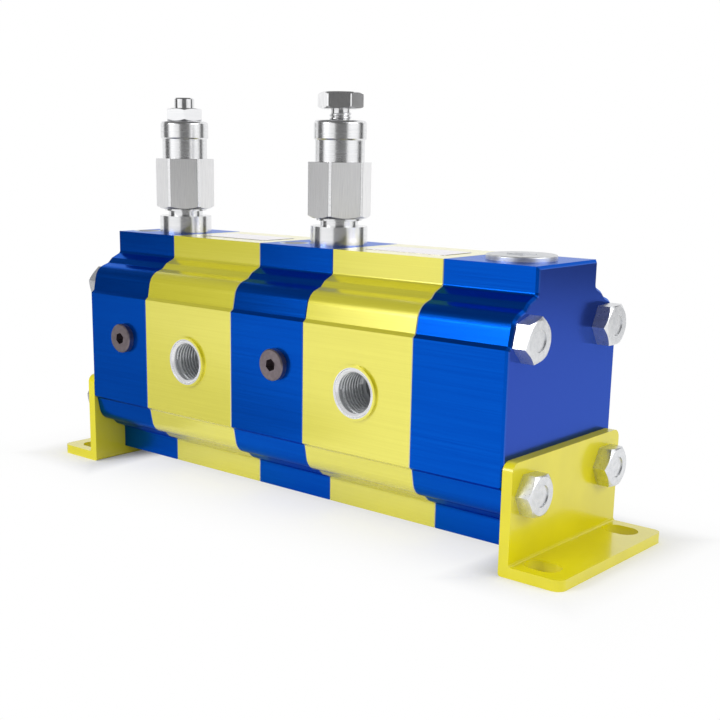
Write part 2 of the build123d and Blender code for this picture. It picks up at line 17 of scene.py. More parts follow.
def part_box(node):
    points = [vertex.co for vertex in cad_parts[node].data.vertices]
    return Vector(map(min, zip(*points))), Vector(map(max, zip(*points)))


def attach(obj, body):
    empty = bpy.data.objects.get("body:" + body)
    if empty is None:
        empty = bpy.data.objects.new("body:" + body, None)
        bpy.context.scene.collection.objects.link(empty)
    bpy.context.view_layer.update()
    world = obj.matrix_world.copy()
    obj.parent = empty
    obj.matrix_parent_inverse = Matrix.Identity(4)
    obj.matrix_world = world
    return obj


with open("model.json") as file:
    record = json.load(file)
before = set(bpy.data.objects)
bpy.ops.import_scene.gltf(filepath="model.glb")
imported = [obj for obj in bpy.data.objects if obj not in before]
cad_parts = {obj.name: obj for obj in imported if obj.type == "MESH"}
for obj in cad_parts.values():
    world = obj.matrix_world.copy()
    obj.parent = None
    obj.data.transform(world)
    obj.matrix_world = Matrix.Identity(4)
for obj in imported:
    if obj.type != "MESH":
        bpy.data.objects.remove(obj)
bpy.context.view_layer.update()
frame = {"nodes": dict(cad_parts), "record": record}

nodes = frame["nodes"]
MM = 0.001
print("pieces in the frame:", len(nodes))

# %% [markdown]
# ## Small helpers
#
# A designer picks colours as sRGB hex values, but Blender computes light in linear values, so one function
# turns one into the other. A material is a tree of nodes, and a second function adds any node with its
# settings, its plain values and its links. The tree can then be read from top to bottom, like a recipe. No
# real surface is even, so every finish has a cloudy pattern at its real size in millimetres, and its
# colour, its roughness and its relief follow that pattern.

# %% Colour from a hex value
def to_linear(hex_colour):
    """An sRGB hex value as linear red, green, blue and alpha."""
    channels = [int(hex_colour[k:k + 2], 16) / 255 for k in (1, 3, 5)]
    linear = [c / 12.92 if c <= 0.04045 else ((c + 0.055) / 1.055) ** 2.4 for c in channels]
    return (*linear, 1.0)


print("mid grey in linear light:", round(to_linear("#808080")[0], 3))


# %% One function adds a node, and one starts a material
def add_node(tree, kind, values=None, links=None, **settings):
    """Adds a node; values and links are keyed by the name or the number of the input socket."""
    node = tree.nodes.new(kind)
    for name, setting in settings.items():
        setattr(node, name, setting)
    for socket, value in (values or {}).items():
        node.inputs[socket].default_value = value
    for socket, output in (links or {}).items():
        tree.links.new(output, node.inputs[socket])
    return node


def start_material(name, **values):
    """A material with one shader; values are constants on the shader's own sockets."""
    material = bpy.data.materials.new(name)
    material.use_nodes = True
    tree = material.node_tree
    tree.nodes.clear()
    shader = add_node(tree, "ShaderNodeBsdfPrincipled")
    for socket, value in values.items():
        shader.inputs[socket.replace("_", " ")].default_value = value
    output = add_node(tree, "ShaderNodeOutputMaterial")
    tree.links.new(shader.outputs["BSDF"], output.inputs["Surface"])
    place = add_node(tree, "ShaderNodeTexCoord").outputs["Object"]
    return material, tree, shader, place


print("materials before the first finish:", len(bpy.data.materials))

# %% A pattern, and what follows it
PATTERN_ENDS = (0.3, 0.7)


def cloudy_pattern(tree, place, size_mm, detail=2.0, roughness=0.5):
    """A pattern whose features are about size_mm along x, y and z; most of it lies between PATTERN_ENDS."""
    scale = [1 / (size * MM) for size in size_mm]
    mapped = add_node(tree, "ShaderNodeMapping", {"Scale": scale}, {"Vector": place})
    made = add_node(tree, "ShaderNodeTexNoise", {"Scale": 1.0, "Detail": detail, "Roughness": roughness},
                    {"Vector": mapped.outputs["Vector"]})
    return made.outputs["Fac"]


def vary(tree, pattern, socket, low, high, ends=PATTERN_ENDS):
    """Lets a socket follow a pattern: low at the pattern's first end, high at its second."""
    values = {"From Min": ends[0], "From Max": ends[1], "To Min": low, "To Max": high}
    stretched = add_node(tree, "ShaderNodeMapRange", values, {"Value": pattern})
    tree.links.new(stretched.outputs["Result"], socket)


def lay_over(tree, under, over, share=None, pattern=None, most=1.0, ends=PATTERN_ENDS):
    """One colour over another, by a share or as a pattern goes; each is a hex value or a node's output."""
    mix = add_node(tree, "ShaderNodeMix", data_type="RGBA")
    for socket, colour in ((6, under), (7, over)):
        if isinstance(colour, str):
            mix.inputs[socket].default_value = to_linear(colour)
        else:
            tree.links.new(colour, mix.inputs[socket])
    if share is not None:
        tree.links.new(share, mix.inputs["Factor"])
    if pattern is not None:
        vary(tree, pattern, mix.inputs["Factor"], 0.0, most, ends)
    return mix.outputs[2]


def raise_surface(tree, shader, height, depth_mm, strength):
    """Fine relief from a pattern, as deep as the real one."""
    bump = add_node(tree, "ShaderNodeBump", {"Strength": strength, "Distance": depth_mm * MM},
                    {"Height": height})
    tree.links.new(bump.outputs["Normal"], shader.inputs["Normal"])


print("a pattern is used from", PATTERN_ENDS[0], "to", PATTERN_ENDS[1])

# %% [markdown]
# ## Camera
#
# The photograph was taken with a short telephoto lens, a little above the block and turned towards its
# right end. The camera could be aimed by eye, but its place and angles were worked out from about fifty
# points of the photograph, and they are used as they are. The picture's middle isn't the lens's middle,
# because the photograph was cropped, and a small shift of the lens stands for that.

# %% Place the camera
PICTURE_WIDTH = 720
camera_azimuth = math.radians(40.997)
camera_elevation = math.radians(13.021)
camera_roll = math.radians(0.782)
camera_place = Vector((356.52, -406.41, 158.70)) * MM
focal_pixels = 1180.8
lens_centre_pixel = (334.13, 422.42)
sensor_width = 36.0
nearest_seen = 0.01

towards_camera = Vector((math.sin(camera_azimuth) * math.cos(camera_elevation),
                         -math.cos(camera_azimuth) * math.cos(camera_elevation),
                         math.sin(camera_elevation)))
level_right = Vector((0, 0, 1)).cross(towards_camera).normalized()
level_up = towards_camera.cross(level_right)
right = level_right * math.cos(camera_roll) + level_up * math.sin(camera_roll)
up = level_up * math.cos(camera_roll) - level_right * math.sin(camera_roll)

lens = bpy.data.cameras.new("camera")
lens.sensor_width = sensor_width
lens.lens = focal_pixels / PICTURE_WIDTH * sensor_width
lens.shift_x = (PICTURE_WIDTH / 2 - lens_centre_pixel[0]) / PICTURE_WIDTH
lens.shift_y = (lens_centre_pixel[1] - PICTURE_WIDTH / 2) / PICTURE_WIDTH
lens.clip_start = nearest_seen
camera = bpy.data.objects.new("camera", lens)
bpy.context.scene.collection.objects.link(camera)
turn = Matrix((right, up, towards_camera)).transposed().to_4x4()
camera.matrix_world = Matrix.Translation(camera_place) @ turn
bpy.context.scene.camera = camera
bpy.context.scene.view_settings.view_transform = "Standard"
print("focal length in mm:", round(lens.lens, 2))

# %% [markdown]
# ## Studio
#
# Metal looks like what stands round it. Lamps alone would leave it dark between their spots, so a studio
# for metal is mostly white and dark cards. The block stands on a white sweep. A soft box at the front left
# makes the bright line along the shoulders. A dark ceiling, a dark card by the camera and two more at the
# left and at the back right give the plated valves their grey bands and the blue its depth, and a grey card
# on the paper calms the fronts. The cards show only in reflections: they take no light and cast no shadow.

# %% How far the paper lies from the block, and how it is seen
def straight_and_mirrored(tree):
    """1 for what the camera sees straight, and 1 for what it sees in metal or glass."""
    path = add_node(tree, "ShaderNodeLightPath")
    mirrored = add_node(tree, "ShaderNodeMath", operation="MAXIMUM",
                        links={0: path.outputs["Is Glossy Ray"], 1: path.outputs["Is Transmission Ray"]})
    return path.outputs["Is Camera Ray"], mirrored.outputs[0]


def outside(tree, place, middle, half):
    """How far a place lies outside a rectangle on the floor, given its middle and its half sizes."""
    sideways = add_node(tree, "ShaderNodeVectorMath", {1: middle}, {0: place}, operation="SUBTRACT")
    size = add_node(tree, "ShaderNodeVectorMath", links={0: sideways.outputs[0]}, operation="ABSOLUTE")
    over = add_node(tree, "ShaderNodeVectorMath", {1: half}, {0: size.outputs[0]}, operation="SUBTRACT")
    parts = add_node(tree, "ShaderNodeSeparateXYZ", links={0: over.outputs[0]}).outputs
    larger = add_node(tree, "ShaderNodeMath", links={0: parts["X"], 1: parts["Y"]}, operation="MAXIMUM")
    return larger.outputs[0]


def fade(tree, away, start, reach):
    """A value that grows smoothly from start to 1 over a distance."""
    values = {"From Min": 0.0, "From Max": reach, "To Min": start, "To Max": 1.0}
    return add_node(tree, "ShaderNodeMapRange", values, {"Value": away},
                    interpolation_type="SMOOTHSTEP").outputs["Result"]


# %% The white sweep
# Each shadow starts at the edge of a rectangle, and GLOW is the share of pure white there. The rectangles'
# half sizes and the shadows' reaches are in metres.
FLOOR_SIZE = 12.0
BLOCK_MIDDLE, BLOCK_HALF = (0, 0, 0), (0.135, 0.020, 0.0)
FOOT_MIDDLE, FOOT_HALF = (0.137, 0.0, 0.0), (0.0137, 0.043, 0.0)
GLOW_BY_BLOCK, BLOCK_SHADOW = 0.72, 0.070
GLOW_BY_FOOT, FOOT_SHADOW = 0.1, 0.026
GLOW_MIRRORED, MIRRORED_REACH = 0.0, 0.14


def deselect_all():
    """Operators act on all that is selected, so nothing is left selected before one is used."""
    if bpy.context.mode != "OBJECT":
        bpy.ops.object.mode_set(mode="OBJECT")
    bpy.ops.object.select_all(action="DESELECT")


def white_paper(name):
    """Paper that shows the soft shadow of the block and its feet, and fades into pure white farther off."""
    material = bpy.data.materials.new(name)
    material.use_nodes = True
    tree = material.node_tree
    tree.nodes.clear()
    paper = add_node(tree, "ShaderNodeBsdfDiffuse", {"Color": to_linear("#F4F4F4")})
    glow = add_node(tree, "ShaderNodeEmission", {"Color": to_linear("#FFFFFF"), "Strength": 1.0})
    place = add_node(tree, "ShaderNodeTexCoord").outputs["Object"]
    either_side = add_node(tree, "ShaderNodeVectorMath", links={0: place}, operation="ABSOLUTE").outputs[0]
    from_block = outside(tree, either_side, BLOCK_MIDDLE, BLOCK_HALF)
    from_foot = outside(tree, either_side, FOOT_MIDDLE, FOOT_HALF)
    by_block = fade(tree, from_block, GLOW_BY_BLOCK, BLOCK_SHADOW)
    by_foot = fade(tree, from_foot, GLOW_BY_FOOT, FOOT_SHADOW)
    in_mirror = fade(tree, from_block, GLOW_MIRRORED, MIRRORED_REACH)
    straight, mirrored = straight_and_mirrored(tree)
    darker = add_node(tree, "ShaderNodeMath", links={0: by_block, 1: by_foot}, operation="MINIMUM")
    seen = add_node(tree, "ShaderNodeMath", links={0: straight, 1: darker.outputs[0]}, operation="MULTIPLY")
    reflected = add_node(tree, "ShaderNodeMath", links={0: mirrored, 1: in_mirror}, operation="MULTIPLY")
    share = add_node(tree, "ShaderNodeMath", links={0: seen.outputs[0], 1: reflected.outputs[0]},
                     operation="MAXIMUM")
    mix = add_node(tree, "ShaderNodeMixShader",
                   links={0: share.outputs[0], 1: paper.outputs[0], 2: glow.outputs[0]})
    add_node(tree, "ShaderNodeOutputMaterial", links={"Surface": mix.outputs[0]})
    return material


deselect_all()
bpy.ops.mesh.primitive_plane_add(size=FLOOR_SIZE, location=(0, 0, 0))
floor = bpy.context.active_object
floor.name = "floor"
floor.data.materials.append(white_paper("white_paper_sweep"))
print("sweep:", FLOOR_SIZE, "m wide")

# %% The world behind it
WORLD_LIGHT = 0.80
world = bpy.data.worlds.new("white_studio")
world.use_nodes = True
tree = world.node_tree
tree.nodes.clear()
soft = add_node(tree, "ShaderNodeBackground", {"Color": to_linear("#FFFFFF"), "Strength": WORLD_LIGHT})
white = add_node(tree, "ShaderNodeBackground", {"Color": to_linear("#FFFFFF"), "Strength": 1.0})
straight, mirrored = straight_and_mirrored(tree)
seen = add_node(tree, "ShaderNodeMath", links={0: straight, 1: mirrored}, operation="MAXIMUM")
mix = add_node(tree, "ShaderNodeMixShader",
               links={0: seen.outputs[0], 1: soft.outputs[0], 2: white.outputs[0]})
add_node(tree, "ShaderNodeOutputWorld", links={"Surface": mix.outputs[0]})
bpy.context.scene.world = world
print("soft light from all round:", WORLD_LIGHT)

# %% Cards that show only in reflections
CARDS_FACE = Vector((0, 0, 0.08))


def around(azimuth, distance, height):
    """A place round the block; azimuth counts in degrees from the front towards the right end."""
    angle = math.radians(azimuth)
    return (distance * math.sin(angle), -distance * math.cos(angle), height)


def card(name, centre, width, height, grey, flat=False):
    """A card at a place in metres, square to the block's middle or flat on the paper."""
    deselect_all()
    turned = (CARDS_FACE - Vector(centre)).to_track_quat("Z", "Y").to_euler()
    if flat:
        turned = (0, 0, math.atan2(centre[1], centre[0]) - math.pi / 2)
    bpy.ops.mesh.primitive_plane_add(size=1.0, location=centre, rotation=turned)
    made = bpy.context.active_object
    made.name = name
    made.scale = (width, height, 1)
    bpy.ops.object.transform_apply(location=True, rotation=True, scale=True)
    material = bpy.data.materials.new(name + "_felt")
    material.use_nodes = True
    felt = material.node_tree
    felt.nodes.clear()
    shade = add_node(felt, "ShaderNodeEmission", {"Color": (grey, grey, grey, 1), "Strength": 1.0})
    add_node(felt, "ShaderNodeOutputMaterial", links={"Surface": shade.outputs[0]})
    made.data.materials.append(material)
    made.visible_camera = False
    made.visible_diffuse = False
    made.visible_transmission = False
    made.visible_shadow = False


card("dark_ceiling", centre=(-0.1, -0.25, 0.95), width=2.6, height=2.6, grey=0.15)
card("dark_card_camera", centre=around(46, 0.95, 0.30), width=1.00, height=0.70, grey=0.13)
card("dark_card_left", centre=around(-55, 0.90, 0.30), width=0.52, height=0.62, grey=0.08)
card("dark_card_back", centre=around(144, 0.80, 0.30), width=0.37, height=0.60, grey=0.08)
card("grey_card_floor", centre=around(-66, 0.42, 0.001), width=0.28, height=0.60, grey=0.50, flat=True)

# %% Soft boxes
LAMPS_AIM = Vector((0, 0, 0.06))


def soft_box(name, place, width, height, power):
    """A rectangular lamp that points at the block's middle."""
    lamp = bpy.data.lights.new(name, "AREA")
    lamp.shape = "RECTANGLE"
    lamp.size = width
    lamp.size_y = height
    lamp.energy = power
    made = bpy.data.objects.new(name, lamp)
    made.location = place
    made.rotation_euler = (LAMPS_AIM - Vector(place)).to_track_quat("-Z", "Y").to_euler()
    bpy.context.scene.collection.objects.link(made)


soft_box("soft_box_front_left", place=around(-23, 1.45, 0.68), width=0.58, height=0.46, power=9.5)
soft_box("soft_box_right", place=around(100, 1.50, 0.80), width=0.90, height=0.70, power=7.0)
print("soft boxes:", len(bpy.data.lights))

# %% [markdown]
# ## Anodised aluminium
#
# The five sections are extruded aluminium, sawn and milled to length and then anodised: the metal grows a
# clear oxide skin, dyed blue or yellow, that lets the metal shine through. It could be a plain painted
# colour, but then it would lose its silky sheen. The deep blue is nearly all metal, with the dye as its
# colour, and what it mirrors at a slant stays bluish too. The yellow is about half metal under a clear
# coat, because its paler dye hides more of the metal. The extruder's die leaves faint lines along the bar,
# the broken edges at the seams get a paler tone, and holes drilled after the dyeing show the bare metal.
# The end faces are given a paler colour, a painted reflection of the white floor.

# %% Faces and edges of a section
SEAM_EDGE = 0.36 * MM
# The X part of a surface's own normal, and how far it may be off
SAWN_END = (1.0, 0.05)
BROKEN_EDGE = (0.7, 0.25)


def faces_along(tree, centre, reach):
    """1 where a surface's own normal has an X part of about centre, give or take reach."""
    normal = add_node(tree, "ShaderNodeTexCoord").outputs["Normal"]
    along = add_node(tree, "ShaderNodeSeparateXYZ", links={0: normal}).outputs["X"]
    size = add_node(tree, "ShaderNodeMath", links={0: along}, operation="ABSOLUTE").outputs[0]
    return add_node(tree, "ShaderNodeMath", {1: centre, 2: reach}, {0: size}, operation="COMPARE").outputs[0]


def seam_edges(tree, place, low, high):
    """1 on the broken edges at both ends of a section."""
    along = add_node(tree, "ShaderNodeSeparateXYZ", links={0: place}).outputs["X"]
    from_middle = add_node(tree, "ShaderNodeMath", {1: (low + high) / 2}, {0: along}, operation="SUBTRACT")
    away = add_node(tree, "ShaderNodeMath", links={0: from_middle.outputs[0]}, operation="ABSOLUTE")
    edge = add_node(tree, "ShaderNodeMath", {1: (high - low) / 2 - SEAM_EDGE}, {0: away.outputs[0]},
                    operation="GREATER_THAN")
    bevel = faces_along(tree, *BROKEN_EDGE)
    both = add_node(tree, "ShaderNodeMath", links={0: edge.outputs[0], 1: bevel}, operation="MULTIPLY")
    return both.outputs[0]


print("edge band in mm:", round(SEAM_EDGE / MM, 2))

# %% Open holes of the sections, from the frame's own mounts
# Each has the section it is in and the radius in mm out to which the metal is bare
open_holes = {"outlet_port_1": ("gear_body_1", 10.6), "outlet_port_2": ("gear_body_2", 10.6),
              "inlet_port": ("middle_valve_plate", 14.0), "gauge_port_1": ("left_valve_plate", 6.8),
              "gauge_port_2": ("middle_valve_plate", 6.8)}
HOLE_REACH = 45 * MM
BARE_RIM = 0.08 * MM
mounts = {mount["name"]: mount for mount in frame["record"]["mounts"]}


def inside_hole(tree, place, mount, radius):
    """1 inside a round hole: nearer to its axis than radius, and near its middle along the axis."""
    centre = Vector(mount["pos_m"])
    axis = Vector([abs(part) for part in mount["axis"]])
    across = Vector((1, 1, 1)) - axis
    sideways = add_node(tree, "ShaderNodeVectorMath", {1: across}, {0: place}, operation="MULTIPLY")
    away = add_node(tree, "ShaderNodeVectorMath", {1: centre * across}, {0: sideways.outputs[0]},
                    operation="DISTANCE")
    near = add_node(tree, "ShaderNodeMath", {1: radius + BARE_RIM}, {0: away.outputs["Value"]},
                    operation="LESS_THAN")
    along = add_node(tree, "ShaderNodeVectorMath", {1: axis}, {0: place}, operation="DOT_PRODUCT")
    deep = add_node(tree, "ShaderNodeMath", {1: centre.dot(axis), 2: HOLE_REACH / 2},
                    {0: along.outputs["Value"]}, operation="COMPARE")
    return add_node(tree, "ShaderNodeMath", links={0: near.outputs[0], 1: deep.outputs[0]},
                    operation="MULTIPLY").outputs[0]


def inside_holes(tree, place, node):
    """1 inside every open hole of a section, or None where it has no such hole."""
    share = None
    for name, (owner, rim_mm) in open_holes.items():
        if owner != node:
            continue
        hole = inside_hole(tree, place, mounts[name], rim_mm * MM)
        if share is not None:
            hole = add_node(tree, "ShaderNodeMath", links={0: hole, 1: share}, operation="MAXIMUM").outputs[0]
        share = hole
    return share


print("open holes:", len(open_holes))

# %% The anodised finish
BARE_METAL = 0.60
PALE_TONE = "#E6E8EA"
# Die lines run along the bar: 60 mm long and half a millimetre wide, coarser than real so that they show.
# They use a narrower part of their pattern than the clouds, which makes them crisper.
DIE_LINES, LINE_ENDS = (60, 0.5, 0.5), (0.35, 0.65)
DYE_CLOUDS, CLOUD_SHARE = (30, 14, 14), 0.25


def anodised(name, node, dye, dye_light, end_painted_reflection, slant, metal, coat, specular, edge_share):
    """Dyed anodised aluminium for one section, with a painted reflection on its end faces, its pale edges and
    bare holes.
    """
    material, tree, shader, place = start_material(name, Coat_Weight=coat, Coat_Roughness=0.20, Coat_IOR=2.1,
                                                   IOR=1.5, Specular_IOR_Level=specular,
                                                   Specular_Tint=to_linear(slant))
    lines = cloudy_pattern(tree, place, DIE_LINES, detail=4, roughness=0.6)
    clouds = cloudy_pattern(tree, place, DYE_CLOUDS)
    tone = lay_over(tree, dye, dye_light, pattern=lines, ends=LINE_ENDS)
    tone = lay_over(tree, tone, dye, pattern=clouds, most=CLOUD_SHARE)
    # Painted reflection: the end faces get a paler colour that stands for the white floor they mirror
    tone = lay_over(tree, tone, end_painted_reflection, share=faces_along(tree, *SAWN_END))
    low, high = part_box(node)
    edges = seam_edges(tree, place, low.x, high.x)
    soft_edges = add_node(tree, "ShaderNodeMath", {1: edge_share}, {0: edges}, operation="MULTIPLY")
    # The broken edges at the seams get the pale tone, as far as edge_share
    tone = lay_over(tree, tone, PALE_TONE, share=soft_edges.outputs[0])
    bare = inside_holes(tree, place, node)
    if bare is None:
        shader.inputs["Metallic"].default_value = metal
    else:
        tone = lay_over(tree, tone, PALE_TONE, share=bare)
        vary(tree, bare, shader.inputs["Metallic"], metal, BARE_METAL, ends=(0.0, 1.0))
    tree.links.new(tone, shader.inputs["Base Color"])
    vary(tree, lines, shader.inputs["Roughness"], 0.22, 0.27)
    raise_surface(tree, shader, lines, depth_mm=0.012, strength=0.10)
    return material


# The slant colour tints what the skin mirrors, the end colour is a painted reflection of the white floor,
# and edge_share is how far a broken edge goes to the pale tone
BLUE = {"dye": "#004CBC", "dye_light": "#0257C9", "end_painted_reflection": "#3852B4", "slant": "#BCD6FF",
        "metal": 0.90, "coat": 0.0, "specular": 0.2, "edge_share": 0.05}
YELLOW = {"dye": "#DFD71E", "dye_light": "#E8E02E", "end_painted_reflection": "#EAE254", "slant": "#FFFFFF",
          "metal": 0.45, "coat": 1.0, "specular": 0.5, "edge_share": 0.40}
finishes = {}
for node, look in (("left_valve_plate", BLUE), ("gear_body_1", YELLOW), ("middle_valve_plate", BLUE),
                   ("gear_body_2", YELLOW), ("end_cover", BLUE)):
    finishes[node] = anodised("anodised_" + node, node, **look)
print("anodised sections:", len(finishes))

# %% [markdown]
# ## Powder coat on the feet
#
# The feet are cut and bent from steel plate, then powder coated: the powder melts into a thick, glossy
# skin. It could be a flat yellow, but melted powder has a faint orange peel, hills of about a millimetre
# that bend the reflections. The shader is a plain dielectric with a coat, and the relief is what gives the
# eye the thick skin.

# %% The powder coat
def powder_coat(name, colour, shade):
    """Melted powder: even in colour, with an orange peel that bends what it mirrors."""
    material, tree, shader, place = start_material(name, Metallic=0.0, Coat_Weight=0.7, Coat_Roughness=0.14,
                                                   IOR=1.5)
    peel = cloudy_pattern(tree, place, (1.6, 1.6, 1.6), detail=1)
    clouds = cloudy_pattern(tree, place, (18, 18, 18))
    tree.links.new(lay_over(tree, colour, shade, pattern=clouds), shader.inputs["Base Color"])
    vary(tree, peel, shader.inputs["Roughness"], 0.28, 0.34)
    raise_surface(tree, shader, peel, depth_mm=0.02, strength=0.15)
    return material


feet_coat = powder_coat("yellow_powder_coat", "#DFD400", "#D6CB00")
feet = ("left_bracket", "right_bracket")
for node in feet:
    finishes[node] = feet_coat
print("powder coated feet:", len(feet))

# %% [markdown]
# ## Bright plating on the valves
#
# The cartridges are turned steel with a bright nickel plate. The turned parts are nearly mirrors, with
# hair-thin rings from the tool. The hexagons come from drawn bar, so their flats keep an upright grain and
# are duller. Both could be separate materials, but such a piece is made from one bar, so one material
# changes with the height, and with the distance from the axis where the corners are turned off.

# %% Plate on turned pieces
TURNED_TONES = ("#EDEDEE", "#E2E3E5")
DRAWN_TONES = ("#FEFEFE", "#E6E6E8")
TURNED_RINGS = (40, 40, 0.25)
DRAWN_GRAIN = (0.22, 0.22, 9.0)
PLATE_RELIEF = {"depth_mm": 0.006, "strength": 0.25}


def turned_plate(name, smooth, dull):
    """Bright plate on a turned piece."""
    material, tree, shader, place = start_material(name, Metallic=1.0)
    rings = cloudy_pattern(tree, place, TURNED_RINGS)
    tree.links.new(lay_over(tree, *TURNED_TONES, pattern=rings), shader.inputs["Base Color"])
    vary(tree, rings, shader.inputs["Roughness"], smooth, dull)
    raise_surface(tree, shader, rings, **PLATE_RELIEF)
    return material


turned_pieces = {"valve_cap_1": ("bright_nickel_cap_1", 0.22, 0.28),
                 "valve_cap_2": ("bright_nickel_cap_2", 0.22, 0.28),
                 "adjusting_screw_1": ("bright_nickel_screw", 0.17, 0.22),
                 "locknut_1": ("bright_nickel_locknut", 0.17, 0.22)}
for node, look in turned_pieces.items():
    finishes[node] = turned_plate(*look)
print("turned and plated pieces:", len(turned_pieces))

# %% Plate on pieces with drawn flats
# Heights are in mm above the top of the block; inside the corner radius in mm the flats are as drawn
BLOCK_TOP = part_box("gear_body_1")[1].z
VALVE_FLATS, VALVE_CORNER = (12.0, 36.1), 14.33
HEAD_FLATS, HEAD_CORNER = (58.9, 66.4), 10.05


def drawn_flats(tree, place, node, flats_mm, corner_mm):
    """1 on a hexagon's flats: between two heights, and nearer to the piece's axis than its turned corners."""
    bottom, top = [BLOCK_TOP + height * MM for height in flats_mm]
    height = add_node(tree, "ShaderNodeSeparateXYZ", links={0: place}).outputs["Z"]
    band = add_node(tree, "ShaderNodeMath", {1: (bottom + top) / 2, 2: (top - bottom) / 2}, {0: height},
                    operation="COMPARE")
    low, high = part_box(node)
    axis = ((low.x + high.x) / 2, (low.y + high.y) / 2, 0)
    level = add_node(tree, "ShaderNodeVectorMath", {1: (1, 1, 0)}, {0: place}, operation="MULTIPLY")
    radius = add_node(tree, "ShaderNodeVectorMath", {1: axis}, {0: level.outputs[0]}, operation="DISTANCE")
    inner = add_node(tree, "ShaderNodeMath", {1: corner_mm * MM}, {0: radius.outputs["Value"]},
                     operation="LESS_THAN")
    return add_node(tree, "ShaderNodeMath", links={0: band.outputs[0], 1: inner.outputs[0]},
                    operation="MULTIPLY").outputs[0]


def plated_hexagon(name, node, flats_mm, corner_mm, drawn, turned):
    """Bright plate on a piece turned from hexagonal bar."""
    material, tree, shader, place = start_material(name, Metallic=1.0)
    rings = cloudy_pattern(tree, place, TURNED_RINGS)
    grain = cloudy_pattern(tree, place, DRAWN_GRAIN, detail=4, roughness=0.65)
    flats = drawn_flats(tree, place, node, flats_mm, corner_mm)
    turned_tone = lay_over(tree, *TURNED_TONES, pattern=rings)
    drawn_tone = lay_over(tree, *DRAWN_TONES, pattern=grain)
    tree.links.new(lay_over(tree, turned_tone, drawn_tone, share=flats), shader.inputs["Base Color"])
    gloss = add_node(tree, "ShaderNodeMix", links={"Factor": flats})
    vary(tree, rings, gloss.inputs[2], *turned)
    vary(tree, grain, gloss.inputs[3], *drawn)
    tree.links.new(gloss.outputs[0], shader.inputs["Roughness"])
    relief = add_node(tree, "ShaderNodeMix", links={"Factor": flats, 2: rings, 3: grain})
    raise_surface(tree, shader, relief.outputs[0], **PLATE_RELIEF)
    return material


for number in (1, 2):
    node = f"valve_body_{number}"
    finishes[node] = plated_hexagon(f"bright_nickel_valve_{number}", node, VALVE_FLATS, VALVE_CORNER,
                                    drawn=(0.32, 0.42), turned=(0.17, 0.22))
finishes["adjusting_screw_2"] = plated_hexagon("bright_nickel_screw_head", "adjusting_screw_2", HEAD_FLATS,
                                               HEAD_CORNER, drawn=(0.16, 0.24), turned=(0.17, 0.22))
print("top of the block in mm:", round(BLOCK_TOP / MM, 2))

# %% [markdown]
# ## Zinc plate on bolts, nuts and the top plug
#
# Fasteners are tumbled in a barrel and zinc plated, which leaves them bright grey, a little cloudy, with
# small bruises where they knocked together. One even grey would look like plastic, so the clouds go into
# the tone, and the bruises into the roughness and the relief. A clear film over the zinc takes a little off
# its metal shine.

# %% Zinc
def zinc_plate(name, smooth, dull):
    """Barrel zinc: cloudy in tone, bruised in gloss."""
    material, tree, shader, place = start_material(name, Metallic=0.9)
    clouds = cloudy_pattern(tree, place, (2.2, 2.2, 2.2), detail=3)
    bruises = cloudy_pattern(tree, place, (0.7, 0.7, 0.7), detail=3, roughness=0.7)
    tree.links.new(lay_over(tree, "#EAEBED", "#D8DADD", pattern=clouds), shader.inputs["Base Color"])
    vary(tree, bruises, shader.inputs["Roughness"], smooth, dull)
    raise_surface(tree, shader, bruises, depth_mm=0.02, strength=0.12)
    return material


zinc = zinc_plate("bright_zinc_plate", 0.25, 0.37)
finishes["through_bolts"] = zinc
finishes["bolt_nuts"] = zinc
finishes["top_plug"] = zinc_plate("satin_zinc_plate", 0.36, 0.46)
print("finished nodes so far:", len(finishes))

# %% [markdown]
# ## Black oxide on the front plugs
#
# Socket plugs are blackened in hot salts: a thin dark iron oxide over steel, brownish grey where light
# catches it. A dark paint would look dead beside the plating, so it stays a metal, only dark, and rougher
# than plate.

# %% Black oxide
def black_oxide(name):
    """Blackened steel with a faint stain in its tone, gloss and relief."""
    material, tree, shader, place = start_material(name, Metallic=0.95)
    stain = cloudy_pattern(tree, place, (1.6, 1.6, 1.6), detail=3)
    tree.links.new(lay_over(tree, "#7C7175", "#8A8084", pattern=stain), shader.inputs["Base Color"])
    vary(tree, stain, shader.inputs["Roughness"], 0.34, 0.48)
    raise_surface(tree, shader, stain, depth_mm=0.02, strength=0.25)
    return material


blackened = black_oxide("black_oxide_plug")
front_plugs = ("front_plug_1", "front_plug_2")
for node in front_plugs:
    finishes[node] = blackened
print("blackened plugs:", len(front_plugs))

# %% [markdown]
# ## Hidden metal, bronze and rubber
#
# Inside are ground steel gears, aluminium bearing blocks, bronze bushes, nitrile seals and springs. They
# show only when the block is taken apart. One grey for all of them would save work, but each still gets the
# finish it was made with: a grain in the direction it was ground, turned or drawn, and a fine bloom on the
# rubber.

# %% Machined metal with a grain
DULLER, SMOOTHER = 0.08, 0.05


def machined(name, tone, dark, grain_mm, gloss, metallic=1.0, relief=0.3):
    """A metal with a grain of the given size along x, y and z."""
    material, tree, shader, place = start_material(name, Metallic=metallic)
    grain = cloudy_pattern(tree, place, grain_mm, detail=3)
    tree.links.new(lay_over(tree, tone, dark, pattern=grain), shader.inputs["Base Color"])
    vary(tree, grain, shader.inputs["Roughness"], gloss - SMOOTHER, gloss + DULLER)
    raise_surface(tree, shader, grain, depth_mm=0.01, strength=relief)
    return material


gear_steel = machined("ground_gear_steel", "#B4B7BB", "#9A9DA2", (0.3, 6, 6), 0.28)
bearing_alloy = machined("milled_bearing_alloy", "#CDD0D2", "#B9BCC0", (4, 0.4, 0.4), 0.34)
bronze = machined("bored_bronze", "#C08F54", "#A87840", (0.4, 5, 5), 0.32)
spring_steel = machined("drawn_spring_steel", "#8E9196", "#6F7277", (0.8, 0.8, 0.8), 0.36)
print("materials so far:", len(bpy.data.materials))


